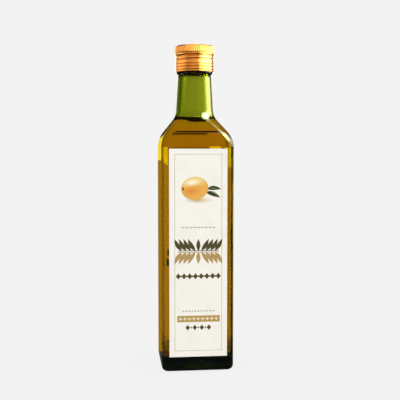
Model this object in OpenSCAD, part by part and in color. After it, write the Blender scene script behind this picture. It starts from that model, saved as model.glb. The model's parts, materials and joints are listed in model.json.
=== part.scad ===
// Square olive oil bottle, filled, with a roll-on screw cap and a front label.
// Millimetres, +Z up. The origin is the centre of the base, and the label faces -Y.

/* [Bottle] */
// Width and depth of the square body, flat to flat
body_w = 58.5; // [54:0.5:70]
// Radius of the upright corners of the body, outside
corner_r = 5.75; // [4.5:0.25:12]
// Height at which the flat sides start to lean in to the shoulder
shoulder_z = 181; // [140:0.5:230]
// Thickness of the side walls and of the neck
wall = 3.2; // [2:0.1:4]
// Thickness of the glass under the oil, at the edge of the base
base_t = 12; // [7.5:0.25:16]
// Radius of the rounded edge between the sides and the base
heel_r = 4; // [2:0.25:6]
// Radius of the hollow pressed into the underside
punt_r = 20; // [12:0.5:22]
// Depth of that hollow at its centre
punt_h = 3.5; // [1.5:0.25:5]

/* [Shoulder and neck] */
// Radius of the bend from the sides into the slope of the shoulder
shoulder_bend_r = 23; // [12:0.5:26]
// Lean of the shoulder's slope from upright, in degrees
shoulder_lean = 37; // [30:1:50]
// Radius of the bend from the slope into the neck
neck_bend_r = 16.5; // [10:0.5:24]
// Outside radius of the neck at its foot
neck_foot_r = 15.1; // [13.75:0.05:17]
// Outside radius of the neck just under the cap
neck_top_r = 13.4; // [12.25:0.05:13.75]
// Length of the neck that shows, from its foot to the cap
neck_len = 30; // [18:0.5:50]
// Outside radius of the ring of glass that the cap is rolled on to
finish_r = 14.6; // [14:0.05:17.5]
// How far that ring shows below the cap
finish_drop = 1.6; // [0.5:0.1:3]

/* [Cap] */
// Thickness of the cap's skirt at its plain band
cap_skirt_t = 0.95; // [0.75:0.05:1.5]
// Height of the cap
cap_h = 21.6; // [20:0.2:28]
// Number of flutes in the grip band at the top
knurls = 60; // [36:1:80]
// Depth of a flute
knurl_depth = 0.5; // [0.2:0.05:0.6]
// Height of the grip band
knurl_h = 5; // [3:0.25:6]
// Rise of the rolled thread in one turn
thread_pitch = 2.6; // [2:0.1:3.2]
// Depth of the rolled thread's groove
thread_depth = 0.5; // [0.3:0.05:0.6]
// Thickness of the cap's top together with its seal
cap_top_t = 1.6; // [1:0.1:2.5]
// Gap between the cap's skirt and the glass inside it
cap_gap = 0.25; // [0.15:0.05:0.4]

/* [Oil] */
// Height of the oil above the start of the shoulder
oil_above_shoulder = 23.5; // [-60:0.5:28]

/* [Label] */
// Gap between the label's upright edges and the bends of the corners
label_side_gap = 0.1; // [0:0.05:6]
// Height of the label
label_h = 168; // [60:0.5:170]
// Distance of the label's top edge below the start of the shoulder
label_top_gap = 0.5; // [0:0.5:20]
// Thickness of the label's paper
label_t = 0.12; // [0.08:0.01:0.3]

/* [Hidden] */

corner_steps = 12; // facets in each quarter of a shoulder ring
bend_steps = 7;    // rings in each bend of the shoulder
slope_steps = 4;   // rings along its straight slope
overlap = 0.01;    // how far cutting shapes run past the face that they cut
seam = 0.08;       // how far a faceted ring stays inside the round face that it meets
near = 0.001;      // rings whose half widths differ by less than this are one
$fn = 96;

half_w = body_w / 2;
neck_foot_z = shoulder_top(half_w, neck_foot_r, shoulder_bend_r, neck_bend_r);
cap_z = neck_foot_z + neck_len;
cap_top = cap_z + cap_h;
mouth_z = cap_top - cap_top_t;
cap_bore_r = finish_r + cap_gap;
cap_r = cap_bore_r + cap_skirt_t; // outside radius of the cap's plain band
oil_z = shoulder_z + oil_above_shoulder;

// The inside of the glass follows the outside at the wall's thickness.
in_half_w = half_w - wall;
in_corner_r = max(corner_r - wall, 1.2);
in_heel_r = max(heel_r - wall / 2, 1.5);
in_shoulder_bend_r = shoulder_bend_r - wall;
in_neck_bend_r = neck_bend_r + wall;
in_neck_foot_r = neck_foot_r - wall;
in_neck_foot_z = shoulder_top(in_half_w, in_neck_foot_r, in_shoulder_bend_r, in_neck_bend_r);
bore_r = neck_top_r - wall;

// Heights on the cap above its rim: the ribs, the band with the rolled thread, the plain
// roll and the grip band.
cap_edge_r = 1;
rib_h = 2.4;
first_groove = 1.65;
ribs = 2;
ribs_top = first_groove + ribs * rib_h + 0.6;
grip_z = cap_h - cap_edge_r - knurl_h;
roll_h = 2.3;
thread_top = grip_z - roll_h;
thread_front = thread_top - 3.1; // the lower turn of the groove, at the front

rib_out = 0.2;     // how far a rib stands out from the plain band
rib_groove = 0.4;  // radius of the round grooves beside the ribs
thread_start = -120;
thread_turns = 1.4;
thread_fade = 50;  // degrees over which the groove runs out at each end
thread_w = 0.9;    // half width of the groove
thread_steps = 60;
thread_rows = 12;

// ---- shoulder ----------------------------------------------------------------------

// Height at which a shoulder that starts at half width w0 has become a neck of radius w1.
function shoulder_top(w0, w1, r0, r1) =
    let (a = shoulder_lean,
         run = w0 - r0 + r0 * cos(a) - (w1 + r1 - r1 * cos(a)))
    shoulder_z + r0 * sin(a) + run / tan(a) + r1 * sin(a);

// The shoulder's side view from bottom to top, as [half width, height]: an outward bend,
// a straight slope and an inward bend.
function shoulder_line(w0, w1, r0, r1) =
    let (a = shoulder_lean,
         top = shoulder_top(w0, w1, r0, r1),
         foot = [w0 - r0 + r0 * cos(a), shoulder_z + r0 * sin(a)],
         head = [w1 + r1 - r1 * cos(a), top - r1 * sin(a)])
    concat(
        [for (i = [0 : bend_steps]) let (t = a * i / bend_steps)
            [w0 - r0 + r0 * cos(t), shoulder_z + r0 * sin(t)]],
        [for (i = [1 : slope_steps]) foot + (head - foot) * i / slope_steps],
        [for (i = [1 : bend_steps]) let (t = a * (1 - i / bend_steps))
            [w1 + r1 - r1 * cos(t), top - r1 * sin(t)]]);

// Corner radius of the ring of half width w: the body's own at w0, and a full circle at w1.
function ring_corner(w, w0, w1, c0) =
    w - w1 < near ? w : c0 + (w1 - c0) * (w0 - w) / (w0 - w1);

// One ring of a rounded square with corner radius c, anticlockwise from the +X side.
function ring(w, c, z) =
    [for (q = [0 : 3], i = [0 : corner_steps])
        let (a = 90 * q + 90 * i / corner_steps,
             mid = 90 * q + 45,
             reach = (w - c) * sqrt(2))
        [reach * cos(mid) + c * cos(a), reach * sin(mid) + c * sin(a), z]];

// A closed skin over a stack of rings with the same number of points.
module stack(rings) {
    n = len(rings[0]);
    last = len(rings) - 1;
    polyhedron(
        points = [for (r = rings) each r],
        faces = concat(
            [[for (i = [0 : n - 1]) i]],
            [for (k = [0 : last - 1], i = [0 : n - 1]) let (j = (i + 1) % n)
                each [[k * n + i, (k + 1) * n + i, (k + 1) * n + j],
                      [k * n + i, (k + 1) * n + j, k * n + j]]],
            [[for (i = [n - 1 : -1 : 0]) last * n + i]]));
}

// The shoulder as a solid, cut off level at z_end where that lies below its top. Its first
// and last rings lie just inside the body and the neck, so that no corner touches a round face.
module shoulder(w0, w1, r0, r1, c0, z_end) {
    line = shoulder_line(w0, w1, r0, r1);
    below = [for (p = line) if (p[1] < z_end - overlap) p];
    cut = len(below) < len(line) ? line[len(below)] : line[len(line) - 1];
    from = below[len(below) - 1];
    share = min(1, (z_end - from[1]) / (cut[1] - from[1]));
    kept = concat(below, [from + (cut - from) * share]);
    stack([for (p = kept)
        let (w = p[0] - seam, c = ring_corner(p[0], w0, w1, c0))
        ring(w, min(w, c), p[1])]);
}

// ---- body --------------------------------------------------------------------------

// The side view of a rounded bottom edge: from the origin outwards to x, rounded by e, up to h.
module edge_profile(x, e, h) {
    translate([0, e]) square([x, h - e]);
    square([x - e, e]);
    intersection() {
        translate([x - e, e]) circle(e);
        translate([x - e, 0]) square([e, e]);
    }
}

// A rounded-square block from z = 0 to h whose bottom edge is rounded by e, which is at
// most the corner radius c. Each corner is a quarter turn and each side a straight run.
module rounded_block(w, c, e, h) {
    m = w - c;
    translate([-m, -m, 0]) cube([2 * m, 2 * m, h]);
    for (q = [0 : 3]) rotate(90 * q) {
        translate([m, m, 0]) rotate_extrude(angle = 90) edge_profile(c, e, h);
        translate([m, m, 0]) rotate([90, 0, 0])
            linear_extrude(2 * m) edge_profile(c, e, h);
    }
}

module body_outside() {
    rounded_block(half_w, corner_r, min(heel_r, corner_r - 0.5), shoulder_z);
    shoulder(half_w, neck_foot_r, shoulder_bend_r, neck_bend_r, corner_r, neck_foot_z);
}

// What the oil and the air above it fill, up to z_end.
module body_inside(z_end) {
    top = min(z_end, shoulder_z);
    translate([0, 0, base_t])
        rounded_block(in_half_w, in_corner_r, min(in_heel_r, in_corner_r - 0.2), top - base_t);
    if (z_end > shoulder_z)
        shoulder(in_half_w, in_neck_foot_r, in_shoulder_bend_r, in_neck_bend_r, in_corner_r,
                 min(z_end, in_neck_foot_z));
}

// The hollow under the base: a cap of a large sphere.
module punt() {
    ball_r = (pow(punt_r, 2) + pow(punt_h, 2)) / (2 * punt_h);
    translate([0, 0, punt_h - ball_r]) sphere(ball_r);
}

// The tapering neck and, round the mouth, the ring of glass under the cap.
module neck_outside() {
    ring_z = cap_z - finish_drop;
    translate([0, 0, neck_foot_z])
        cylinder(h = ring_z - neck_foot_z, r1 = neck_foot_r, r2 = neck_top_r);
    translate([0, 0, ring_z])
        rotate_extrude() edge_profile(finish_r, min(0.8, finish_drop / 2), mouth_z - ring_z);
}

module neck_bore() {
    translate([0, 0, in_neck_foot_z - overlap])
        cylinder(h = cap_z - in_neck_foot_z + 1, r1 = in_neck_foot_r, r2 = bore_r);
    translate([0, 0, cap_z]) cylinder(h = mouth_z - cap_z + overlap, r = bore_r);
}

module bottle() {
    color([0.36, 0.42, 0.05, 0.6])
    difference() {
        union() {
            body_outside();
            neck_outside();
        }
        body_inside(in_neck_foot_z);
        neck_bore();
        punt();
    }
}

module oil() {
    color([0.72, 0.5, 0.05, 0.8]) body_inside(oil_z);
}

// ---- cap ---------------------------------------------------------------------------

// The grip band's outline: a flute between each two crests.
module knurl_outline(r) {
    polygon([for (i = [0 : knurls - 1], s = [[0.2, 0], [0.8, 0], [0.9, 1], [1.1, 1]])
        let (a = 360 * (i + s[0]) / knurls, d = r - knurl_depth * s[1])
        [d * cos(a), d * sin(a)]]);
}

// Depth of the thread's groove at angle a and height z above the cap's rim. The groove
// climbs by the pitch each turn, and runs out at both ends.
function groove_fade(turn) =
    min(1, max(0, (turn - thread_start) / thread_fade),
        max(0, (thread_start + 360 * thread_turns - turn) / thread_fade));
function groove_z(turn) = thread_front + thread_pitch * turn / 360;
function groove(a, z) =
    max([for (k = [-1 : 2]) let (turn = a + 360 * k, off = abs(z - groove_z(turn)) / thread_w)
        off < 1 ? groove_fade(turn) * (1 + cos(180 * off)) / 2 : 0]);

// The band with the rolled thread, from the ribs up to the roll. Angle 0 is the front.
module thread_band() {
    stack([for (k = [0 : thread_rows])
        let (z = ribs_top + (thread_top - ribs_top) * k / thread_rows)
        [for (i = [0 : thread_steps - 1])
            let (a = 360 * i / thread_steps,
                 r = cap_r - seam - thread_depth * groove(a > 180 ? a - 360 : a, z))
            [r * sin(a), -r * cos(a), z]]]);
}

// The side view of a band of the cap from height z to z + h, which swells out at its middle.
module swelling_band(z, h, out) {
    swell_r = (pow(h / 2, 2) + pow(out, 2)) / (2 * out);
    translate([0, z]) square([cap_r, h]);
    intersection() {
        translate([cap_r + out - swell_r, z + h / 2]) circle(swell_r);
        translate([cap_r - out, z]) square([2 * out, h]);
    }
}

// The ribs near the rim, with a round groove at the foot and the head of each.
module rim_ribs() {
    rotate_extrude() difference() {
        union() {
            swelling_band(0, first_groove, rib_out);
            for (i = [0 : ribs - 1])
                swelling_band(first_groove + rib_h * i, rib_h, rib_out);
            translate([0, first_groove + rib_h * ribs])
                square([cap_r, ribs_top - first_groove - rib_h * ribs]);
        }
        for (i = [0 : ribs])
            translate([cap_r + (i == 0 ? rib_groove / 2 : 0), first_groove + rib_h * i])
                circle(rib_groove);
    }
}

// Everything above the thread: the roll, the fluted grip band and the rounded top edge.
module grip() {
    rotate_extrude() {
        swelling_band(thread_top, roll_h, knurl_depth);
        translate([0, cap_h - cap_edge_r]) square([cap_r - cap_edge_r, cap_edge_r]);
        intersection() {
            translate([cap_r - cap_edge_r, cap_h - cap_edge_r]) circle(cap_edge_r);
            translate([0, cap_h - cap_edge_r]) square([cap_r, cap_edge_r]);
        }
    }
    translate([0, 0, grip_z])
        linear_extrude(knurl_h) knurl_outline(cap_r + knurl_depth + seam);
}

module cap() {
    color([0.85, 0.55, 0.18])
    translate([0, 0, cap_z]) difference() {
        union() {
            rim_ribs();
            thread_band();
            grip();
        }
        translate([0, 0, -overlap])
            cylinder(h = cap_h - cap_top_t + overlap, r = cap_bore_r);
    }
}

// ---- label -------------------------------------------------------------------------

module label() {
    label_w = 2 * (half_w - corner_r - label_side_gap);
    color([0.95, 0.93, 0.88])
    translate([-label_w / 2, -half_w - label_t, shoulder_z - label_top_gap - label_h])
        cube([label_w, label_t, label_h]);
}

bottle();
oil();
cap();
label();
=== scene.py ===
# %% [markdown]
# # A half-litre bottle of olive oil
# The bottle has four things in it: a square bottle of green glass, the oil, a rolled-on cap of
# gold aluminium, and a paper label. The construction model fixes where each one is and how big
# it is. This lesson makes the surfaces: glass with a real wall, oil that wets the glass, sheet
# metal with its flutes and thread, and printed paper.

# %% Load the frame
import json
import math
import bpy
import numpy as np
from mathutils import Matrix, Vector

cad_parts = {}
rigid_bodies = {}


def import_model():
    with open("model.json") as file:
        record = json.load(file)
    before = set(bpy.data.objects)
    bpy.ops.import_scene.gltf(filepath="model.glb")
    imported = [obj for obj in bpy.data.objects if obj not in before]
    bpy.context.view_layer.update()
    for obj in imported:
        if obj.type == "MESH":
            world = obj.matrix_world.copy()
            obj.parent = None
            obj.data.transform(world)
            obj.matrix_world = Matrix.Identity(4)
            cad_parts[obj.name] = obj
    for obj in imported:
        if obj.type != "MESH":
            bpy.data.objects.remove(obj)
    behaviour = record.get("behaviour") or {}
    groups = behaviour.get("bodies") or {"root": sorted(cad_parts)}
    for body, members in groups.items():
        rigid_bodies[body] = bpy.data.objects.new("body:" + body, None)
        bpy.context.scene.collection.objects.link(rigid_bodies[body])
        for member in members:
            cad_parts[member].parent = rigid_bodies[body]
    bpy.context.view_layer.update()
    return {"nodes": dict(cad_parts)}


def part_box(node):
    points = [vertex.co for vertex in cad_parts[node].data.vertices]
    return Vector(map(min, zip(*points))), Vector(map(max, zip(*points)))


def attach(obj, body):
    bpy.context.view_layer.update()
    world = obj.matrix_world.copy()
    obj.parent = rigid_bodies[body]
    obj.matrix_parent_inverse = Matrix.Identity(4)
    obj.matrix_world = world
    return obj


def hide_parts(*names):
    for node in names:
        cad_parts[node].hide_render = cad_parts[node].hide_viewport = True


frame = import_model()
print("pieces in the frame:", sorted(frame["nodes"]))

# %% [markdown]
# ## Sizes
# All lengths below are millimetres, because that is how bottles are drawn, and MM turns them
# into Blender's metres when a mesh is made. The overall sizes are read from the frame, so the
# surfaces can't drift away from the construction. The bends of the shoulder and the rings of
# the cap don't show in a box, so they are named here with the construction's own values.

# %% Sizes of the bottle
MM = 0.001


def box_mm(node):
    """Lowest and highest corner of a node in millimetres, as two arrays."""
    low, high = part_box(node)
    return np.array(low) / MM, np.array(high) / MM


_, bottle_high = box_mm("bottle")
oil_low, oil_high = box_mm("oil")
cap_low, cap_high = box_mm("cap")
label_low, label_high = box_mm("label")

half_w = bottle_high[0]
mouth_z = bottle_high[2]
wall = half_w - oil_high[0]
base_t = oil_low[2]
oil_z = oil_high[2]
cap_z, cap_top = cap_low[2], cap_high[2]

corner_r = 5.75
shoulder_z = 181.0
shoulder_bend_r, neck_bend_r = 23.0, 16.5
shoulder_lean = math.radians(37)
neck_foot_r, neck_top_r = 15.1, 13.4
heel_r = 4.0
punt_r, punt_h = 20.0, 3.5
finish_r, finish_drop = 14.6, 1.6
print(f"body {2 * half_w:.1f} mm square, glass {wall:.2f} mm, oil to {oil_z:.1f} mm")

# %% [markdown]
# ## From numbers to a mesh
# Every surface in this lesson is a grid: rows of points that run round the piece, stacked
# along a path that starts and ends on the axis. Two neighbouring rows are joined by quads,
# and the two ends close in a fan round one point, so each piece is watertight. numpy works
# out whole rows at once, which is quicker to run and to read than a loop over points.

# %% Grid helpers
def add_mesh(name, points_mm, faces):
    """A smooth-shaded mesh object at the origin, from points in millimetres."""
    mesh = bpy.data.meshes.new(name)
    mesh.from_pydata((np.asarray(points_mm) * MM).tolist(), [], faces)
    mesh.shade_smooth()
    mesh.validate()
    piece = bpy.data.objects.new(name, mesh)
    bpy.context.scene.collection.objects.link(piece)
    return piece


def closed_grid(name, grid, start_z, end_z):
    """A closed skin over grid[row, column], with a point on the axis at each end.

    Quads join row r to row r + 1 and column c to column c + 1, wrapping round. They face
    outwards when the columns run anticlockwise and the rows run from the bottom centre out,
    up the outside and back in.
    """
    rows, cols, _ = grid.shape
    index = np.arange(rows * cols).reshape(rows, cols)
    right = np.roll(index, -1, axis=1)
    quads = np.stack([index[:-1], right[:-1], right[1:], index[1:]], axis=-1).reshape(-1, 4)
    first, last = rows * cols, rows * cols + 1
    start = np.stack([np.full(cols, first), right[0], index[0]], axis=-1)
    end = np.stack([index[-1], right[-1], np.full(cols, last)], axis=-1)
    points = np.vstack([grid.reshape(-1, 3), [[0, 0, start_z], [0, 0, end_z]]])
    piece = add_mesh(name, points, quads.tolist() + start.tolist() + end.tolist())
    print(f"{name}: {len(points)} points, {len(piece.data.polygons)} faces")
    return piece


def path(*stretches):
    """Joins stretches of a path, each an array of rows, and drops points that repeat."""
    rows = np.vstack(stretches)
    step = np.abs(np.diff(rows, axis=0)).max(axis=1)
    return rows[np.concatenate([[True], step > 1e-6])]


def run(start, end, count):
    """count rows in a straight run from start to end, both included."""
    share = np.linspace(0, 1, count)[:, None]
    return (1 - share) * np.array(start, float) + share * np.array(end, float)


# %% [markdown]
# ## Rings of a rounded square
# Each level of the bottle is a square with round corners, and up the shoulder the corners
# grow until the ring is a circle. One walk round the ring covers them all: from the middle of
# a side along half the flat, round a quarter of a circle, and along half of the next flat.
# The columns of the grid are spread so that some always lie on the flats and some on the
# arcs, and where the flats vanish they share the circle evenly, so no two points meet.

# %% Ring formula
ARC_STEPS, FLAT_STEPS = 24, 8
QUARTER = ARC_STEPS + FLAT_STEPS


def rings(rows):
    """Points and outward directions of the rings for rows of (half width, corner radius, z).

    With half width w and corner radius c, a flat is w - c long from its middle, and a quarter
    of the ring is L = 2 (w - c) + c pi / 2. The flat's columns take the flats' share of L, or
    their own share of the columns if that is more. At a distance d from the middle of the +X
    side a point is (w, d) on the first flat, then on the arc at the angle (d - flat) / c, then
    on the second flat. The other three quarters are this one turned by 90 degrees.
    """
    w, c, z = (column[:, None] for column in rows.T)
    flat = w - c
    length = 2 * flat + c * math.pi / 2
    share = np.maximum(2 * flat / length, FLAT_STEPS / QUARTER)
    k = np.arange(QUARTER)[None, :]
    half = FLAT_STEPS / 2
    on_first = k * share / (2 * half)
    on_arc = share / 2 + (k - half) * (1 - share) / ARC_STEPS
    on_second = 1 - (QUARTER - k) * share / (2 * half)
    d = length * np.where(k <= half, on_first, np.where(k <= half + ARC_STEPS, on_arc, on_second))
    angle = np.clip((d - flat) / c, 0, math.pi / 2)
    past = np.clip(d - flat - c * math.pi / 2, 0, None)
    x = flat + c * np.cos(angle) - past
    y = np.minimum(d, flat) + c * np.sin(angle)
    nx, ny = np.cos(angle), np.sin(angle)
    xs = np.concatenate([x, -y, -x, y], axis=1)
    ys = np.concatenate([y, x, -y, -x], axis=1)
    out = np.concatenate([
        np.stack([nx, ny], axis=-1), np.stack([-ny, nx], axis=-1),
        np.stack([-nx, -ny], axis=-1), np.stack([ny, -nx], axis=-1),
    ], axis=1)
    return np.stack([xs, ys, np.broadcast_to(z, xs.shape)], axis=-1), out


# %% [markdown]
# ## Side view of the bottle
# The outside and the inside follow the same path at different widths. From the base it goes
# round the heel, straight up the side, over an outward bend, up a leaning slope, through an
# inward bend and into the neck.

# %% Shoulder and side
def shoulder_rows(w0, w1, r0, r1, c0, bend_steps=14, slope_steps=10):
    """Rows over the shoulder, from the side's half width w0 to the neck's radius w1.

    An arc of radius r0 leans out of the side by the shoulder's lean, a straight slope goes
    on at that lean, and an arc of radius r1 brings it upright again. The corner radius grows
    in step with how far the ring has drawn in.
    """
    lean = shoulder_lean
    drop = w0 - r0 + r0 * math.cos(lean) - (w1 + r1 - r1 * math.cos(lean))
    top = shoulder_z + r0 * math.sin(lean) + drop / math.tan(lean) + r1 * math.sin(lean)
    low = np.linspace(0, lean, bend_steps + 1)
    bend = np.stack([w0 - r0 + r0 * np.cos(low), shoulder_z + r0 * np.sin(low)], axis=-1)
    high = low[::-1]
    turn = np.stack([w1 + r1 - r1 * np.cos(high), top - r1 * np.sin(high)], axis=-1)
    slope = run(bend[-1], turn[0], slope_steps + 1)[1:-1]
    line = np.vstack([bend, slope, turn])
    drawn_in = (w0 - line[:, 0]) / (w0 - w1)
    corner = np.minimum(line[:, 0], c0 + (w1 - c0) * drawn_in)
    return np.stack([line[:, 0], corner, line[:, 1]], axis=-1)


def edge_rows(w, c, z, radius, steps=10):
    """Rows round a rounded bottom edge: a quarter arc from flat on the base to upright."""
    turn = np.linspace(0, math.pi / 2, steps + 1)
    pull = radius * (1 - np.sin(turn))
    return np.stack([w - pull, c - pull, z + radius * (1 - np.cos(turn))], axis=-1)


def side_rows(w, c, low, high, steps=12):
    """Upright rows at one half width, from low to high."""
    return run((w, c, low), (w, c, high), steps + 1)


# %% [markdown]
# ## The glass
# Real bottles are blown, so the outside is crisp and even where it met the mould, and the
# inside is a little wavy where only air shaped it. That waviness is what makes light crawl
# through old glass, so the inner wall gets a slow ripple of about a tenth of a millimetre.
# The base is thick and has a hollow pressed into its underside, so it rocks on nothing.

# %% Outside of the glass
def punt_rows(steps=10):
    """The hollow in the underside: rows on a ball's cap, from near the axis to its rim."""
    ball_r = (punt_r**2 + punt_h**2) / (2 * punt_h)
    r = np.linspace(0, punt_r, steps + 1)[1:]
    height = punt_h - ball_r + np.sqrt(ball_r**2 - r**2)
    return np.stack([r, r, height], axis=-1)


ring_z = cap_z - finish_drop
lip_r = 0.8
flare_h, flare_out = 0.6, 0.3
mouth_r = 0.6
flare_z, mouth_foot_z = ring_z - flare_h, mouth_z - mouth_r
flare_r = neck_top_r + flare_out
outer_shoulder = shoulder_rows(half_w, neck_foot_r, shoulder_bend_r, neck_bend_r, corner_r)
neck_foot_z = outer_shoulder[-1, 2]
underside = path(
    punt_rows(),
    run((punt_r, punt_r, 0), (half_w - heel_r, corner_r - heel_r, 0), 7),
)
collar = edge_rows(finish_r, finish_r, ring_z, lip_r, 6)
outside = path(
    underside,
    edge_rows(half_w, corner_r, 0, heel_r),
    side_rows(half_w, corner_r, heel_r, shoulder_z),
    outer_shoulder,
    run((neck_foot_r, neck_foot_r, neck_foot_z), (neck_top_r, neck_top_r, flare_z), 9),
    run((neck_top_r, neck_top_r, flare_z), (flare_r, flare_r, ring_z), 4),
    collar,
    run((finish_r, finish_r, ring_z + lip_r), (finish_r, finish_r, mouth_foot_z), 6),
    run((finish_r, finish_r, mouth_foot_z), (finish_r - mouth_r, finish_r - mouth_r, mouth_z), 4),
)
print(f"neck starts at {neck_foot_z:.1f} mm, {len(outside)} rings outside")

# %% Inside of the glass
in_half_w = half_w - wall
in_corner_r = corner_r - wall
in_heel_r = heel_r - wall / 2
HAIR = 0.01
bore_foot_r, bore_r = neck_foot_r - wall, neck_top_r - wall
inner_shoulder = shoulder_rows(
    in_half_w, bore_foot_r, shoulder_bend_r - wall, neck_bend_r + wall, in_corner_r
)
inner_side = path(
    run((2, 2, base_t), (in_half_w - in_heel_r, in_corner_r - in_heel_r + HAIR, base_t), 10),
    edge_rows(in_half_w, in_corner_r + HAIR, base_t, in_heel_r),
    side_rows(in_half_w, in_corner_r, base_t + in_heel_r, shoulder_z, 60),
    inner_shoulder,
)
inside_up = path(
    inner_side,
    run((bore_foot_r, bore_foot_r, inner_shoulder[-1, 2]), (bore_r, bore_r, cap_z), 12),
    run((bore_r, bore_r, cap_z), (bore_r, bore_r, mouth_foot_z), 6),
    run((bore_r, bore_r, mouth_foot_z), (bore_r + mouth_r, bore_r + mouth_r, mouth_z), 4),
)


def inner_wall(rows, depth=0.10, reach=0.0):
    """Rings of the inner wall, moved in or out by a ripple along each point's own direction.

    The move is a sum of three slow sine waves of the height and of the way round. It fades
    out towards the base and over the shoulder, where the glass is thick and even. reach moves
    every point on by the same step, into the glass.
    """
    points, out = rings(rows)
    z = points[..., 2]
    around = np.arctan2(points[..., 1], points[..., 0])
    wave = (
        np.sin(z / 9.0 + 2 * around)
        + 0.7 * np.sin(z / 15.0 - 3 * around + 1.3)
        + 0.5 * np.sin(z / 5.5 + 5 * around + 0.4)
    )
    fade = np.clip((z - base_t) / 15, 0, 1) * np.clip((shoulder_z + 8 - z) / 12, 0, 1)
    points[..., :2] += (depth * wave * fade + reach)[..., None] * out
    return points


glass_grid = np.concatenate([rings(outside)[0], inner_wall(inside_up)[::-1]])
glass = closed_grid("glass_bottle", glass_grid, punt_h, base_t)

# %% [markdown]
# ## The oil
# Oil wets glass: there is no film of air between them, and at its edge the surface climbs the
# wall in a small curve, the meniscus. Two meshes that share one face would flicker, so the
# oil's skin reaches a quarter of a millimetre into the glass all round.

# %% Oil
REACH = 0.25
CLIMB = 1.3


def rows_below(rows, level):
    """The rows under a level, and one more cut exactly at it."""
    z = rows[:, 2]
    cut = np.array([np.interp(level, z, rows[:, k]) for k in range(3)])
    return np.vstack([rows[z < level - 1e-3], cut])


def meniscus_rows(edge, climb=CLIMB, length=1.6, steps=16):
    """Rows over the oil's top, from the wall to near the axis.

    The height above the level is climb times e to the power of minus the distance from the
    wall over length. Rows crowd together near the wall, where the curve is.
    """
    w, c = edge[0], edge[1]
    distance = (w - 0.5) * np.linspace(0, 1, steps + 1)[1:] ** 2
    height = oil_z + climb * (np.exp(-distance / length) - np.exp(-w / length))
    keep = (w - distance) / w
    return np.stack([w * keep, c * keep, height], axis=-1)


wet = rows_below(inner_side, oil_z + CLIMB)
wet_points = inner_wall(wet, reach=REACH)
wet_points[..., 2] -= REACH * (wet[:, 2] < base_t + HAIR)[:, None]
oil_top = rings(meniscus_rows(wet[-1]))[0]
oil = closed_grid("oil_fill", np.concatenate([wet_points, oil_top]), base_t - REACH, oil_z)
print(f"oil wets the wall up to {oil_z + CLIMB:.1f} mm")

# %% [markdown]
# ## The cap
# The cap is one cup of thin aluminium. The maker slips it over the neck blank, and rollers
# then press the thread into it from outside, which is why the groove is soft and runs out at
# both ends. Above the thread are a plain roll and a band of flutes for the fingers; below it,
# ribs let the bottom ring tear away. All of this is one height function of the angle and the
# height: a smooth side view, less the flutes, less the groove.

# %% Side view of the cap
cap_r = 15.8
cap_h = cap_top - cap_z
edge_r = 1.0
knurls, knurl_h = 60, 5.0
crest_r = cap_high[0]
grip_z = cap_h - edge_r - knurl_h
roll_h, roll_out = 2.3, 0.5
thread_top = grip_z - roll_h
rib_h, rib_out, first_groove = 2.4, 0.2, 1.65
groove_heights = first_groove + rib_h * np.arange(3)
groove_depths = np.array([0.22, 0.42, 0.42])
groove_half_w = 0.42
waist_below, waist_half_w, waist_depth = 0.3, 1.0, 0.25


def swell(t, low, height, out):
    """A parabola that stands out by out at the middle of a band, and 0 beyond its ends."""
    u = np.clip((t - low) / height, 0, 1)
    return out * 4 * u * (1 - u)


def dip(distance, half_width):
    """A smooth dip: 1 at distance 0, falling by a raised cosine to 0 at half_width."""
    near = np.clip(np.abs(distance) / half_width, 0, 1)
    return 0.5 * (1 + np.cos(math.pi * near))


def cap_side(t):
    """The cap's radius at height t above its rim, before flutes and thread."""
    r = np.full_like(t, cap_r)
    r += swell(t, 0, first_groove, rib_out)
    for foot in groove_heights[:2]:
        r += swell(t, foot, rib_h, rib_out)
    for height, depth in zip(groove_heights, groove_depths):
        r -= depth * dip(t - height, groove_half_w)
    r += swell(t, thread_top, roll_h, roll_out)
    return r - waist_depth * dip(t - (thread_top - waist_below), waist_half_w)


# %% Flutes and thread
thread_pitch, thread_depth, thread_half_w = 2.6, 0.55, 0.85
thread_front = thread_top - 3.1
thread_low, thread_high, thread_fade = -120.0, 384.0, 50.0


def thread(angle, t):
    """Depth of the rolled groove. angle is in degrees from the front, -180 to 180.

    The groove's centre climbs by the pitch in one turn. Each pass of it is tried at the
    point's own angle, and the deepest counts. It fades in and out over the last degrees.
    """
    deepest = np.zeros(np.broadcast(angle, t).shape)
    for lap in (-1, 0, 1, 2):
        turn = angle + 360 * lap
        centre = thread_front + thread_pitch * turn / 360
        ends = np.minimum(turn - thread_low, thread_high - turn) / thread_fade
        fade = np.clip(ends, 0, 1)
        deepest = np.maximum(deepest, fade * dip(t - centre, thread_half_w))
    return thread_depth * deepest


def flute(angle):
    """Shape of the flutes round the grip: 1 in the bottom of each, 0 on the crests."""
    return np.clip(np.cos(np.radians(angle) * knurls), 0, 1) ** 1.3


COLUMNS = knurls * 7
ROUND = np.linspace(0, 2 * math.pi, COLUMNS, endpoint=False)
round_x, round_y = np.sin(ROUND), -np.cos(ROUND)
cap_angle = np.degrees(ROUND)
cap_angle = np.where(cap_angle > 180, cap_angle - 360, cap_angle)


def turned(radius, t):
    """Points at a radius for each column, or one for all, and height t above the rim."""
    r = np.broadcast_to(radius, (len(t), COLUMNS))
    z = np.broadcast_to(cap_z + t[:, None], r.shape)
    return np.stack([r * -round_x, r * round_y, z], axis=-1)


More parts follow.
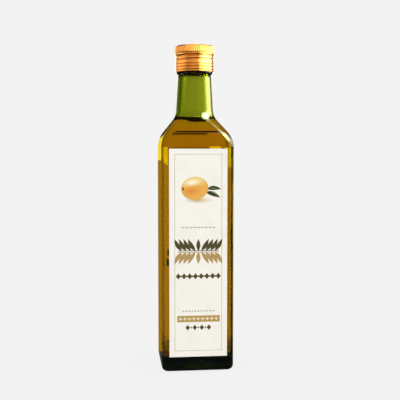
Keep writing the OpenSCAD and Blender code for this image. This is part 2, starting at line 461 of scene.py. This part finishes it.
# %% Build the cap
rim_t, curl_r = 0.45, 0.4
step_gap, grip_fade, grip_past = 0.02, 0.35, 0.25
seal_gap, top_dish = 0.01, 0.12
t_wall = np.linspace(rim_t, grip_z - step_gap, 96)
t_grip = np.linspace(grip_z + step_gap, cap_h - edge_r, 12)
wall_radius = cap_side(t_wall)[:, None] - thread(-cap_angle[None, :], t_wall[:, None])
to_ends = np.minimum(t_grip - grip_z, cap_h - edge_r + grip_past - t_grip)
ends = np.clip(to_ends / grip_fade, 0, 1)
grip_radius = cap_r + (crest_r - cap_r) * (1 - np.clip(flute(cap_angle)[None] * 1.1, 0, 1))
grip_radius = cap_r + (grip_radius - cap_r) * ends[:, None]
edge_turn = np.linspace(0, math.pi / 2, 8)[1:]
edge_radius = cap_r - edge_r + edge_r * np.cos(edge_turn)
edge_height = cap_h - edge_r + edge_r * np.sin(edge_turn)
top_radius = np.array([14.3, 13.6, 12.9, 8.0, 3.0])
top_drop = np.array([0.0, 0.05, top_dish, top_dish, top_dish])
curl_turn = np.linspace(-math.pi, 0, 7)[:-1]
curl_radius = cap_side(np.array([rim_t]))[0] - curl_r + curl_r * np.cos(curl_turn)
curl_height = rim_t + curl_r * np.sin(curl_turn)
skirt_r, seal_z = curl_radius[0], mouth_z - cap_z + seal_gap
cap_rows = [
    turned(np.array([[3.0], [10.0], [skirt_r]]), np.full(3, seal_z)),
    turned(skirt_r, np.linspace(seal_z, 0.6, 6)[1:]),
    turned(curl_radius[:, None], curl_height),
    turned(wall_radius, t_wall),
    turned(grip_radius, t_grip),
    turned(edge_radius[:, None], edge_height),
    turned(top_radius[:, None], cap_h - top_drop),
]
cap_grid = np.concatenate(cap_rows)
cap = closed_grid("cap_gold", cap_grid[:, ::-1], cap_z + seal_z, cap_top - top_dish)

# %% [markdown]
# ## The label
# The label is a sheet of cream paper on the flat front. Its print is made of thin films that
# lie on the paper, each a plain shape of ink: a fine border, one olive with two leaves, a
# sprig where a title would stand, a few rules and a band of gold. Films cut from real shapes
# stay crisp at any distance, which a painted picture doesn't.

# %% Paper
PRINT_ROOM = 0.04
paper_front = label_low[1] + PRINT_ROOM
paper_back = label_high[1]
label_x = 0.5 * (label_low[0] + label_high[0])
label_top = label_high[2]


def slab(name, outline, front, back):
    """A flat plate from an outline of (x, z) points, anticlockwise as seen from the front."""
    n = len(outline)
    x, z = np.asarray(outline, float).T
    points = np.vstack([
        np.stack([x, np.full(n, front), z], axis=-1),
        np.stack([x, np.full(n, back), z], axis=-1),
    ])
    i = np.arange(n)
    j = np.roll(i, -1)
    rim = np.stack([i, i + n, j + n, j], axis=-1)
    faces = [i.tolist(), (i[::-1] + n).tolist()] + rim.tolist()
    piece = add_mesh(name, points, faces)
    piece.data.shade_flat()
    return piece


def rectangle(x0, z0, x1, z1):
    """Corners of an upright rectangle, anticlockwise from its lower left."""
    return np.array([[x0, z0], [x1, z0], [x1, z1], [x0, z1]])


paper = slab(
    "label_paper",
    rectangle(label_low[0], label_low[2], label_high[0], label_high[2]),
    paper_front,
    paper_back,
)
print(f"paper {paper_back - paper_front:.2f} mm thick, with {PRINT_ROOM} mm left for the print")

# %% Films of ink
film_t = 0.012


def film(name, outlines, layer=0):
    """One piece of ink made of flat shapes, each an outline of (x, z) points.

    Each shape is a fan round its own middle, raised by the film's thickness and closed by a
    rim down to the paper. A higher layer lies on the one below it.
    """
    points, faces, base = [], [], 0
    front = paper_front - film_t * (layer + 1)
    for outline in outlines:
        outline = np.asarray(outline, float)
        n = len(outline)
        x, z = outline.T
        points += [
            np.stack([x, np.full(n, front), z], axis=-1),
            np.stack([x, np.full(n, paper_front), z], axis=-1),
        ]
        i = np.arange(n)
        j = np.roll(i, -1)
        faces += [(i + base).tolist(), (i[::-1] + n + base).tolist()]
        faces += (np.stack([i, i + n, j + n, j], axis=-1) + base).tolist()
        base += 2 * n
    piece = add_mesh(name, np.vstack(points), faces)
    piece.data.shade_flat()
    return piece


def from_top(x, down):
    """A place on the label, from its middle line and its top edge."""
    return np.array([label_x + x, label_top - down])


def ellipse(middle, rx, rz, tilt=0.0, steps=64):
    """An ellipse's outline, tilted by an angle in degrees."""
    a = np.linspace(0, 2 * math.pi, steps, endpoint=False)
    x, z = rx * np.cos(a), rz * np.sin(a)
    t = math.radians(tilt)
    turn = np.stack([x * math.cos(t) - z * math.sin(t), x * math.sin(t) + z * math.cos(t)])
    return middle + turn.T


def leaf(foot, tip, width, bow=0.0, steps=20):
    """A leaf between two points: its half width is a sine along it, and bow bends its spine."""
    foot, tip = np.asarray(foot, float), np.asarray(tip, float)
    along = tip - foot
    across = np.array([-along[1], along[0]]) / np.hypot(*along)
    s = np.linspace(0, 1, steps + 1)
    spine = foot + s[:, None] * along + (bow * np.sin(math.pi * s))[:, None] * across
    half = (0.5 * width * np.sin(math.pi * s**0.85))[:, None] * across
    return np.vstack([spine - half, (spine + half)[-2:0:-1]])


# %% Border, rules and band
border_gap, border_w = 4.3, 0.34
left, right = label_low[0] + border_gap, label_high[0] - border_gap
low, high = label_low[2] + border_gap + 0.5, label_high[2] - border_gap
border = film("print_border", [
    rectangle(left, low, left + border_w, high),
    rectangle(right - border_w, low, right, high),
    rectangle(left + border_w, low, right - border_w, low + border_w),
    rectangle(left + border_w, high - border_w, right - border_w, high),
])


def dashes(down, height, half_run, count, share):
    """A row of count short dashes about the middle line. share is the part that is ink."""
    pitch = 2 * half_run / count
    start = -half_run + pitch * (np.arange(count) + 0.5 * (1 - share))
    return [
        rectangle(*from_top(x, down + height), *from_top(x + pitch * share, down))
        for x in start
    ]


def lozenges(down, height, half_run, count):
    """A row of small lozenges with a dot between each two."""
    x = np.linspace(-half_run, half_run, count)
    shapes = []
    for i, place in enumerate(x):
        size = height / 2 if i % 2 == 0 else height / 5
        middle = from_top(place, down + height / 2)
        shapes.append(middle + size * np.array([[-0.8, 0], [0, -1], [0.8, 0], [0, 1]]))
    return shapes


rules = film("print_rules", dashes(62.5, 0.9, 14.0, 9, 0.7) + dashes(130.2, 1.0, 13.5, 11, 0.6))
beads = film(
    "print_beads", lozenges(99.8, 5.0, 16.2, 15) + lozenges(141.8, 4.6, 8.6, 7)
)
band = film("print_band", [rectangle(*from_top(-17.0, 139.6), *from_top(17.4, 134.4))])
band_marks = film("print_band_marks", lozenges(135.6, 2.8, 14.6, 17), layer=1)


# %% The sprig
def sprig(down, half_run, leaf_l, leaf_w, count, side):
    """A stem along the middle line with leaves on one side, alternately left and right."""
    shapes = [rectangle(*from_top(-half_run, down + 0.28), *from_top(half_run, down - 0.28))]
    for i in range(count):
        x = -half_run + 2 * half_run * (i + 0.5) / count
        lean = math.copysign(1, x) if abs(x) > 0.1 else 0
        foot = from_top(x - 1.2 * lean, down)
        tip = foot + np.array([leaf_l * 0.62 * lean, side * leaf_l])
        shapes.append(leaf(foot, tip, leaf_w, bow=-0.5 * lean * side))
    return shapes


sprig_down, sprig_apart = 82.3, 0.6
sprig_size = {"half_run": 16.4, "leaf_l": 9.6, "leaf_w": 3.3, "count": 9}
upper_sprig = film("print_sprig_dark", sprig(sprig_down - sprig_apart, side=1, **sprig_size))
lower_sprig = film("print_sprig_gold", sprig(sprig_down + sprig_apart, side=-1, **sprig_size))
print("leaves on each sprig:", sprig_size["count"])

# %% [markdown]
# ## The olive on the label
# One olive in flat ink would look like a button. Real label printers shade it, so this film
# has more points: rings of an ellipse, and each point carries its own colour in an attribute.
# The colour is worked out from where the point sits: a pale sheen high on the fruit, a deep
# orange belly, and a darker rim where the skin turns away.

# %% Shaded fruit
OLIVE_MID = from_top(-2.9, 31.6)
OLIVE_RX, OLIVE_RZ, OLIVE_TILT = 10.9, 9.1, 8.0


def blend(a, b, share):
    """Mixes two colours by a share from 0 to 1, point by point."""
    share = np.clip(share, 0, 1)[:, None]
    return (1 - share) * a + share * b


def olive_colour(u, v):
    """Colour at (u, v), where the fruit's outline is the unit circle and v points up."""
    r2 = u**2 + v**2
    gold = np.array([0.86, 0.45, 0.07])
    deep = np.array([0.78, 0.24, 0.03])
    straw = np.array([0.92, 0.66, 0.20])
    pale = np.array([0.97, 0.93, 0.70])
    skin = np.array([0.42, 0.30, 0.06])
    colour = blend(gold, straw, (v - 0.15) / 0.5)
    belly = np.exp(-((u + 0.28) ** 2 / 0.30 + (v + 0.22) ** 2 / 0.12))
    colour = blend(colour, deep, 0.85 * belly)
    sheen = np.exp(-((u + 0.12) ** 2 / 0.20 + (v - 0.55) ** 2 / 0.045))
    colour = blend(colour, pale, 1.1 * sheen)
    return blend(colour, skin, np.clip((r2 - 0.80) / 0.28, 0, 1) ** 1.5)


def colour_film(name, middle, rx, rz, tilt, colour_of, layer, ring_count=26, steps=72):
    """A film of ink over an ellipse, as rings of points with a colour at each point."""
    share = np.linspace(0, 1, ring_count + 1)[1:]
    a = np.linspace(0, 2 * math.pi, steps, endpoint=False)
    u = np.outer(share, np.cos(a)).ravel()
    v = np.outer(share, np.sin(a)).ravel()
    t = math.radians(tilt)
    x = middle[0] + rx * u * math.cos(t) - rz * v * math.sin(t)
    z = middle[1] + rx * u * math.sin(t) + rz * v * math.cos(t)
    y = np.full_like(x, paper_front - film_t * (layer + 1))
    rim = np.stack([x, np.full_like(x, paper_front), z], axis=-1)[-steps:]
    points = np.vstack([np.stack([x, y, z], axis=-1), rim, [[middle[0], y[0], middle[1]]]])
    index = np.arange((ring_count + 1) * steps).reshape(ring_count + 1, steps)
    nxt = np.roll(index, -1, axis=1)
    quads = np.stack([index[:-1], index[1:], nxt[1:], nxt[:-1]], axis=-1).reshape(-1, 4)
    hub = len(points) - 1
    fan = np.stack([np.full(steps, hub), index[0], nxt[0]], axis=-1)
    under = index[-1][::-1].tolist()
    piece = add_mesh(name, points, quads.tolist() + fan.tolist() + [under])
    piece.data.shade_flat()
    u = np.concatenate([u, np.cos(a), [0.0]])
    v = np.concatenate([v, np.sin(a), [0.0]])
    rgba = np.ones((len(points), 4))
    rgba[:, :3] = colour_of(u, v)
    ink = piece.data.color_attributes.new("ink", "FLOAT_COLOR", "POINT")
    ink.data.foreach_set("color", rgba.astype(np.float32).ravel())
    return piece


PAPER_TONE = np.array([0.86, 0.83, 0.74])


def shadow_colour(u, v):
    """Warm brown in the middle, running out to the paper's own tone at the edge."""
    brown = np.array([0.52, 0.34, 0.10])
    warm = np.array([0.84, 0.62, 0.25])
    strength = np.exp(-2.2 * (u**2 + v**2)) - math.exp(-2.2)
    return blend(PAPER_TONE, blend(brown, warm, (u + 0.5) / 1.2), 1.15 * strength)


shadow = colour_film(
    "print_olive_shadow", from_top(0.3, 40.9), 11.0, 2.6, 0, shadow_colour, 0, 12, 48
)
olive = colour_film(
    "print_olive", OLIVE_MID, OLIVE_RX, OLIVE_RZ, OLIVE_TILT, olive_colour, 1
)
stem_end = film(
    "print_olive_eye",
    [ellipse(OLIVE_MID + np.array([-9.3, -0.4]), 0.62, 1.25, 0, 24)],
    layer=2,
)

# %% Leaves of the olive
stalk = OLIVE_MID + np.array([9.0, -2.2])
leaves = film("print_leaves", [
    leaf(stalk + np.array([0.6, 1.7]), stalk + np.array([12.4, 1.5]), 3.4, 0.9),
    leaf(stalk + np.array([-0.3, -0.6]), stalk + np.array([11.6, -5.3]), 3.6, 0.7),
])
veins = film(
    "print_leaf_veins",
    [
        leaf(stalk + np.array([2.6, 0.0]), stalk + np.array([10.2, -4.1]), 0.9, 0.7),
        leaf(stalk + np.array([3.0, 1.8]), stalk + np.array([9.6, 1.5]), 0.7, 0.7),
    ],
    layer=1,
)

# %% [markdown]
# ## Materials
# Each finish is a few nodes round one Principled shader. A number that is the same all over
# a surface sits on the shader itself, and nodes are only for what changes from place to
# place: ripples, grain, flecks and worn colour. Patterns read Object coordinates, which are
# metres here, so a noise scale of 1000 has features of about a millimetre.

# %% Node helpers
def srgb(red, green, blue):
    """A colour given as 0-255 screen values, as the linear colour that shaders want."""
    c = np.array([red, green, blue]) / 255
    linear = np.where(c <= 0.04045, c / 12.92, ((c + 0.055) / 1.055) ** 2.4)
    return (*linear.tolist(), 1.0)


def new_material(name, **sockets):
    """A material with a Principled shader. sockets are its inputs, with _ for a space."""
    material = bpy.data.materials.new(name)
    material.use_nodes = True
    shader = material.node_tree.nodes["Principled BSDF"]
    for socket, value in sockets.items():
        shader.inputs[socket.replace("_", " ")].default_value = value
    return material, shader


def add_node(tree, kind, values=None, links=None, **settings):
    """A node of a kind, with settings, plain input values and links into its inputs."""
    node = tree.nodes.new("ShaderNode" + kind)
    for key, value in settings.items():
        setattr(node, key, value)
    for key, value in (values or {}).items():
        node.inputs[key].default_value = value
    for key, source in (links or {}).items():
        tree.links.new(source, node.inputs[key])
    return node


def object_coords(tree, stretch=(1, 1, 1)):
    """Object coordinates, stretched by a factor along each axis."""
    coords = add_node(tree, "TexCoord")
    return add_node(
        tree, "Mapping", {"Scale": stretch}, {"Vector": coords.outputs["Object"]}
    ).outputs["Vector"]


def noise(tree, vector, scale, detail=2.0, rough=0.5):
    """A noise pattern's value, about 0.5 on average."""
    return add_node(
        tree, "TexNoise", {"Scale": scale, "Detail": detail, "Roughness": rough},
        {"Vector": vector},
    ).outputs["Fac"]


def ranged(tree, value, low, high, from_low=0.3, from_high=0.7):
    """A value moved from one range to another, held at the ends."""
    return add_node(
        tree, "MapRange",
        {"From Min": from_low, "From Max": from_high, "To Min": low, "To Max": high},
        {"Value": value},
    ).outputs["Result"]


def mixed(tree, share, a, b):
    """A colour between a and b, by a share from a node."""
    mix = add_node(tree, "Mix", data_type="RGBA")
    tree.links.new(share, mix.inputs[0])
    mix.inputs[6].default_value, mix.inputs[7].default_value = a, b
    return mix.outputs[2]


def bump(tree, shader, height, strength, distance):
    """Lets a height pattern tilt the surface's shading."""
    node = add_node(
        tree, "Bump", {"Strength": strength, "Distance": distance}, {"Height": height}
    )
    tree.links.new(node.outputs["Normal"], shader.inputs["Normal"])


def absorbing(material, colour, density):
    """Tints light by how far it goes inside the piece, as stained glass and oil do."""
    tree = material.node_tree
    volume = add_node(tree, "VolumeAbsorption", {"Color": (*colour, 1.0), "Density": density})
    tree.links.new(volume.outputs["Volume"], tree.nodes["Material Output"].inputs["Volume"])


def finish_piece(piece, material, body="root"):
    """Gives a piece its material and the body that it moves with."""
    piece.data.materials.append(material)
    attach(piece, body)


# %% [markdown]
# ## Glass and oil
# Green glass is green all the way through, so its colour belongs in its volume and not on its
# surface. Light that crosses two walls comes out yellow-green, and light that has to cross
# the thick base comes out almost black. That one fact paints the dark edges, the dark foot
# and the bright middle. The oil works the same way: it hardly touches red, takes some green
# and stops blue within a few millimetres.

# %% Glass
glass_finish, shader = new_material(
    "green_glass", Base_Color=(1, 1, 1, 1), Roughness=0.0, IOR=1.52, Transmission_Weight=1.0
)
tree = glass_finish.node_tree
absorbing(glass_finish, (0.826, 0.869, 0.015), 620.0)
mould_skin = noise(tree, object_coords(tree, (1, 1, 0.35)), 120.0, 1.0)
bump(tree, shader, mould_skin, 0.05, 0.002)

# %% Oil
oil_finish, shader = new_material(
    "olive_oil", Base_Color=(1, 1, 1, 1), Roughness=0.0, IOR=1.47, Transmission_Weight=1.0,
    Specular_Tint=(0.3, 0.25, 0.1, 1.0),
)
absorbing(oil_finish, (0.967, 0.825, 0.0), 150.0)

# %% [markdown]
# ## Gold aluminium
# The cap's sheet is lacquered gold. Rolling leaves fine streaks round it, and handling dulls
# it in patches, so its roughness and its colour both wander a little.

# %% Cap finish
cap_finish, shader = new_material(
    "gold_aluminium", Metallic=1.0, Coat_Weight=0.35, Coat_Roughness=0.08
)
tree = cap_finish.node_tree
patches = noise(tree, object_coords(tree), 160.0, 2.0)
streaks = noise(tree, object_coords(tree, (0.15, 0.15, 9.0)), 600.0, 2.0)
gold = mixed(tree, ranged(tree, patches, 0, 1), srgb(228, 152, 64), srgb(240, 170, 86))
tree.links.new(gold, shader.inputs["Base Color"])
tree.links.new(ranged(tree, patches, 0.20, 0.30), shader.inputs["Roughness"])
bump(tree, shader, streaks, 0.03, 0.00001)

# %% [markdown]
# ## Paper and ink
# Uncoated paper is never one white: fibres catch the light and the pulp clouds a little. The
# inks lie thin on it and take its grain, so each has the same fine mottle in its own colour.

# %% Paper and inks
paper_finish, shader = new_material("cream_paper", Roughness=0.75, Specular_IOR_Level=0.3)
tree = paper_finish.node_tree
clouds = noise(tree, object_coords(tree), 90.0, 3.0)
fibres = noise(tree, object_coords(tree, (1, 1, 0.4)), 2600.0, 3.0, 0.65)
tone = mixed(tree, ranged(tree, clouds, 0, 1), srgb(243, 239, 228), srgb(247, 244, 235))
tree.links.new(tone, shader.inputs["Base Color"])
bump(tree, shader, fibres, 0.25, 0.0002)


def ink(name, colour, sheen=0.45, mottle=0.14):
    """A printing ink: its colour with a fine mottle, a little darker where it lies thick."""
    material, shader = new_material(name, Roughness=sheen, Specular_IOR_Level=0.35)
    tree = material.node_tree
    grain = noise(tree, object_coords(tree), 1800.0, 2.0)
    thin = tuple(min(1.0, c * (1 + mottle)) for c in colour[:3]) + (1.0,)
    thick = tuple(c * (1 - mottle) for c in colour[:3]) + (1.0,)
    tree.links.new(
        mixed(tree, ranged(tree, grain, 0, 1), thick, thin), shader.inputs["Base Color"]
    )
    bump(tree, shader, grain, 0.10, 0.0001)
    return material


def shaded_ink(name):
    """Ink whose colour is carried by the points of the film, with the same fine mottle."""
    material, shader = new_material(name, Roughness=0.45, Specular_IOR_Level=0.35)
    tree = material.node_tree
    carried = add_node(tree, "Attribute", attribute_name="ink")
    grain = noise(tree, object_coords(tree), 1800.0, 2.0)
    shade = add_node(
        tree, "HueSaturation", {},
        {"Color": carried.outputs["Color"], "Value": ranged(tree, grain, 0.93, 1.05)},
    )
    tree.links.new(shade.outputs["Color"], shader.inputs["Base Color"])
    return material


dark_olive = ink("ink_dark_olive", srgb(84, 74, 30))
gold_brown = ink("ink_gold_brown", srgb(182, 150, 92))
taupe = ink("ink_taupe", srgb(176, 168, 148))
gold_ink = ink("ink_gold", srgb(185, 150, 80), sheen=0.35)
cream_ink = ink("ink_cream", srgb(238, 226, 196))
leaf_ink = ink("ink_leaf", srgb(44, 62, 16))
vein_ink = ink("ink_vein", srgb(120, 140, 70))
eye_ink = ink("ink_eye", srgb(58, 34, 8))
fruit_ink = shaded_ink("ink_fruit")

# %% Give every piece its finish
finish_piece(glass, glass_finish)
finish_piece(oil, oil_finish)
finish_piece(cap, cap_finish)
finish_piece(paper, paper_finish)
for piece, material in [
    (border, taupe), (rules, taupe), (beads, dark_olive), (band, gold_ink),
    (band_marks, cream_ink), (upper_sprig, dark_olive), (lower_sprig, gold_brown),
    (shadow, fruit_ink), (olive, fruit_ink), (stem_end, eye_ink), (leaves, leaf_ink),
    (veins, vein_ink),
]:
    finish_piece(piece, material)
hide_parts("bottle")
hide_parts("oil")
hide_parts("cap")
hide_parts("label")

# %% [markdown]
# ## Studio
# Glass is lit by what stands round it. To the camera the room is a pale, even tent over a pale
# floor. What glass and metal mirror is nearly dark, because a bottle in a bright tent would
# lose its edges. What shows through the glass changes with the bearing and is brightest to one
# side. Close to the bottle the floor is painted dark for rays through the glass, a painted
# contact shadow that keeps the thick base dark.

# %% Room
PALE, FLOOR_PALE = 0.896, 0.925
MIRROR_DARK = 0.02


def ray_mix(tree, is_ray, otherwise, value):
    """otherwise, but value for one kind of ray. Both are node outputs of a colour."""
    mix = add_node(tree, "Mix", data_type="RGBA")
    tree.links.new(is_ray, mix.inputs[0])
    tree.links.new(otherwise, mix.inputs[6])
    tree.links.new(value, mix.inputs[7])
    return mix.outputs[2]


def plain_colour(tree, level, tint=(1, 1, 1)):
    """A colour node for a level of grey light with a tint."""
    node = add_node(tree, "RGB")
    node.outputs[0].default_value = (*[level * t for t in tint], 1)
    return node.outputs[0]


def ramp_colours(tree, value, stops):
    """A colour that changes along a value from 0 to 1, by (place, grey level) stops."""
    node = add_node(tree, "ValToRGB", {}, {"Fac": value})
    elements = node.color_ramp.elements
    for place, level in stops[1:-1]:
        elements.new(place).color = (level, level, level, 1)
    for element, (place, level) in ((elements[0], stops[0]), (elements[-1], stops[-1])):
        element.position, element.color = place, (level, level, level, 1)
    return node.outputs["Color"]


world = bpy.data.worlds.new("light_tent")
bpy.context.scene.world = world
world.use_nodes = True
tree = world.node_tree
rays = add_node(tree, "LightPath").outputs
direction = add_node(tree, "TexCoord").outputs["Generated"]
x, y, _ = add_node(tree, "SeparateXYZ", {}, {"Vector": direction}).outputs
around = add_node(tree, "Math", {}, {0: x, 1: y}, operation="ARCTAN2").outputs[0]
bearing = ranged(tree, around, 0, 1, -math.pi, math.pi)
behind_glass = ramp_colours(tree, bearing, [
    (0.0, 0.10), (0.30, 0.10), (0.38, 0.12), (0.48, 0.34), (0.52, 0.37), (0.56, 0.70),
    (0.60, 1.2), (0.66, 1.8), (0.74, 1.2), (0.80, 0.10), (1.0, 0.10),
])
mirrored = plain_colour(tree, MIRROR_DARK)
light = plain_colour(tree, PALE)
light = ray_mix(tree, rays["Is Diffuse Ray"], light, plain_colour(tree, 0.80))
light = ray_mix(tree, rays["Is Glossy Ray"], light, mirrored)
light = ray_mix(tree, rays["Is Transmission Ray"], light, behind_glass)
tree.links.new(light, tree.nodes["Background"].inputs["Color"])

# %% Floor
floor_r, floor_sides = 9.0, 96
angle = np.linspace(0, 2 * math.pi, floor_sides, endpoint=False)
floor_rim = np.stack([floor_r * np.cos(angle), floor_r * np.sin(angle), 0 * angle], axis=-1)
floor = add_mesh("studio_floor", floor_rim / MM, [list(range(floor_sides))])
material, shader = new_material("pale_floor", Base_Color=(0.8, 0.8, 0.8, 1), Roughness=0.9)
tree = material.node_tree
shader.inputs["Specular IOR Level"].default_value = 0.0
rays = add_node(tree, "LightPath").outputs
place = add_node(tree, "TexCoord").outputs["Object"]
far = add_node(tree, "VectorMath", {}, {0: place}, operation="LENGTH").outputs["Value"]
# Rays through the glass see a painted shadow round the bottle: nearly black within 64 mm of the
# axis, full brightness from 110 mm out.
painted_shadow_through_glass = ramp_colours(tree, ranged(tree, far, 0, 1, 0, 0.2), [
    (0.0, 0.03), (0.32, 0.03), (0.55, 1.0), (1.0, 1.0),
])
seen, mirrored = plain_colour(tree, FLOOR_PALE), plain_colour(tree, MIRROR_DARK)
glow = ray_mix(tree, rays["Is Glossy Ray"], seen, mirrored)
glow = ray_mix(tree, rays["Is Transmission Ray"], glow, painted_shadow_through_glass)
emission = add_node(tree, "Emission", {}, {"Color": glow})
share = add_node(tree, "MixShader", {"Fac": 0.10})
tree.links.new(emission.outputs[0], share.inputs[1])
tree.links.new(shader.outputs[0], share.inputs[2])
tree.links.new(share.outputs[0], tree.nodes["Material Output"].inputs["Surface"])
floor.data.materials.append(material)
print(f"floor {2 * floor_r:.0f} m across")


# %% [markdown]
# ## Cards
# Small cards round a bottle draw lines and bright flanks in it. Two dark strips on the floor
# behind make the double line over the shoulder, three bright cards light the flanks through
# the glass, and two gold ones, tucked behind the left side, are only seen mirrored. The camera
# itself sees none of them.

# %% Cards
def card(name, corners, level, tint=(1, 1, 1), mirrored=False):
    """A plain card that only shows through the glass, or only mirrored in it."""
    board = add_mesh(name, np.array(corners) / MM, [list(range(len(corners)))])
    finish, shader = new_material(name + "_paint", Roughness=1.0)
    tree = finish.node_tree
    glow = add_node(tree, "Emission", {"Color": (*[level * t for t in tint], 1)})
    tree.links.new(glow.outputs[0], tree.nodes["Material Output"].inputs["Surface"])
    board.data.materials.append(finish)
    board.visible_camera = board.visible_diffuse = board.visible_shadow = False
    board.visible_glossy, board.visible_transmission = mirrored, not mirrored
    print(f"{name}: level {level}, {'mirrored' if mirrored else 'seen through the glass'}")
    return board


def bent(near, far, reach=0.09, pull=0.4, left=-0.03, z=0.002):
    """Corners of a strip on the floor between two distances, whose left end turns nearer."""
    turn = pull * left
    return [
        (left, near + turn, z), (0, near, z), (reach, near, z), (reach, far, z), (0, far, z),
        (left, far + turn, z),
    ]


def standing(x0, y0, x1, y1, z0, z1):
    """Corners of an upright rectangle over the line from (x0, y0) to (x1, y1)."""
    return [(x0, y0, z0), (x1, y1, z0), (x1, y1, z1), (x0, y0, z1)]


DARK_RED, FLANK_GREEN = (0.03, 0.0, 0.0), (0.8, 1.3, 1.0)
LOW_GOLD, HIGH_GOLD = (0.42, 0.216, 0.006), (1.04, 0.76, 0.05)
card("near_line", bent(0.515, 0.580), 1.0, DARK_RED)
card("far_line", bent(0.612, 0.685), 1.0, DARK_RED)
card("right_flank_card", standing(-1.2, 2.3, -0.10, 2.3, 0.10, 0.19), 2.6, FLANK_GREEN)
card("left_flank_card", standing(0.30, 2.3, 1.20, 2.3, 0.10, 0.19), 2.6, FLANK_GREEN)
card("left_card", standing(-0.62, 0.55, -0.22, 0.80, 0.0, 0.11), 3.0)
tucked = (-0.0460, 0.036, -0.0285, 0.036)
card("gold_card", standing(*tucked, 0.0, 0.170), 1.0, LOW_GOLD, mirrored=True)
card("gold_top", standing(*tucked, 0.170, 0.21), 1.2, HIGH_GOLD, mirrored=True)


# %% [markdown]
# ## Lights
# Each softbox lights only the pieces listed with it, so the cap can be bright while the glass
# keeps its dark edges. Their faces fade towards the rim, because a light with a hard edge
# draws a highlight with a hard edge.

# %% Lights
def hump(tree, side):
    """6 s (1 - s) for a place s across a face: 1.5 in the middle and 0 at both ends."""
    rest = add_node(tree, "Math", {0: 1.0}, {1: side}, operation="SUBTRACT").outputs[0]
    both = add_node(tree, "Math", {}, {0: side, 1: rest}, operation="MULTIPLY").outputs[0]
    return add_node(tree, "Math", {1: 6.0}, {0: both}, operation="MULTIPLY").outputs[0]


def fade_to_edges(lamp):
    """Lets a lamp's face fade to nothing at its rim: the hump along it times that across."""
    lamp.use_nodes = True
    tree = lamp.node_tree
    across = add_node(tree, "NewGeometry").outputs["Parametric"]
    u, v, _ = add_node(tree, "SeparateXYZ", {}, {"Vector": across}).outputs
    links = {0: hump(tree, u), 1: hump(tree, v)}
    share = add_node(tree, "Math", {}, links, operation="MULTIPLY").outputs[0]
    tree.links.new(share, tree.nodes["Emission"].inputs["Strength"])


LIGHTS_AIM_Z = 0.2


def softbox(name, bearing, rise, distance, size, level, colour=(1, 1, 1), lights=None):
    """A rectangle of light that the camera can't see, facing the upper part of the bottle.

    bearing is in degrees from straight behind towards +X, and rise in degrees above the
    level. level is how bright its face looks, so its power is pi times its area times that.
    lights is a list of the pieces that it lights, or None for all of them.
    """
    lamp = bpy.data.lights.new(name, "AREA")
    lamp.shape = "RECTANGLE"
    lamp.size, lamp.size_y = size
    lamp.energy, lamp.color = math.pi * size[0] * size[1] * level, colour
    fade_to_edges(lamp)
    holder = bpy.data.objects.new(name, lamp)
    bpy.context.scene.collection.objects.link(holder)
    turn, lift = math.radians(bearing), math.radians(rise)
    out = Vector((math.cos(lift) * math.sin(turn), math.cos(lift) * math.cos(turn), math.sin(lift)))
    holder.location = Vector((0, 0, LIGHTS_AIM_Z)) + distance * out
    holder.rotation_euler = out.to_track_quat("Z", "Y").to_euler()
    holder.visible_camera = False
    if lights:
        group = bpy.data.collections.new(name + "_lights")
        for piece in lights:
            group.objects.link(piece)
        holder.light_linking.receiver_collection = group
    return holder


printed = [paper] + [piece for piece in bpy.data.objects if piece.name.startswith("print_")]
softbox("window_high", 108, 50, 0.6, (0.62, 0.50), 9.0, (0.97, 0.99, 1.0), [glass, oil])
softbox("window_side", 82, 20, 0.6, (0.7, 0.42), 3.2, (1.0, 0.97, 0.88), [glass, oil])
softbox("cap_left", -85, 10, 0.5, (1.1, 0.7), 0.75, (1.0, 0.86, 0.66), [cap])
softbox("cap_front", -165, 10, 0.6, (1.1, 0.8), 0.42, (1.0, 0.80, 0.50), [cap])
softbox("cap_above", 30, 80, 0.6, (0.9, 0.9), 1.2, (1.0, 0.95, 0.85), [cap])
softbox("cap_right", 110, 12, 0.5, (1.2, 0.9), 4.0, (1.0, 0.97, 0.9), [cap])
softbox("cap_back", 0, 10, 0.6, (0.9, 0.6), 1.2, (1.0, 0.93, 0.8), [cap])
softbox("label_fill", -168, 14, 1.1, (0.9, 0.9), 0.95, (1, 0.99, 0.95), printed)
print("softboxes:", len(bpy.data.lights))

# %% [markdown]
# ## Camera
# A longish lens, a little above the middle and a little to one side, looks slightly down. It
# keeps the sides nearly upright and shows a sliver of the left face.

# %% Camera
LOOK_DOWN, LOOK_RIGHT = 4.16, 6.03
lens = bpy.data.cameras.new("camera")
lens.lens, lens.sensor_width, lens.shift_x = 68.4, 36.0, 0.01365
lens.clip_start, lens.clip_end = 0.01, 50.0
camera = bpy.data.objects.new("camera", lens)
bpy.context.scene.collection.objects.link(camera)
camera.location = (-0.0666, -0.6306, 0.1836)
camera.rotation_euler = (math.radians(90 - LOOK_DOWN), 0, math.radians(-LOOK_RIGHT))
scene = bpy.context.scene
scene.camera = camera
scene.view_settings.view_transform = "Standard"
scene.cycles.max_bounces = 24
scene.cycles.transmission_bounces = 24
scene.cycles.glossy_bounces = 8
scene.cycles.caustics_refractive = True
print(f"camera {camera.location.length:.2f} m from the base, lens {lens.lens} mm")
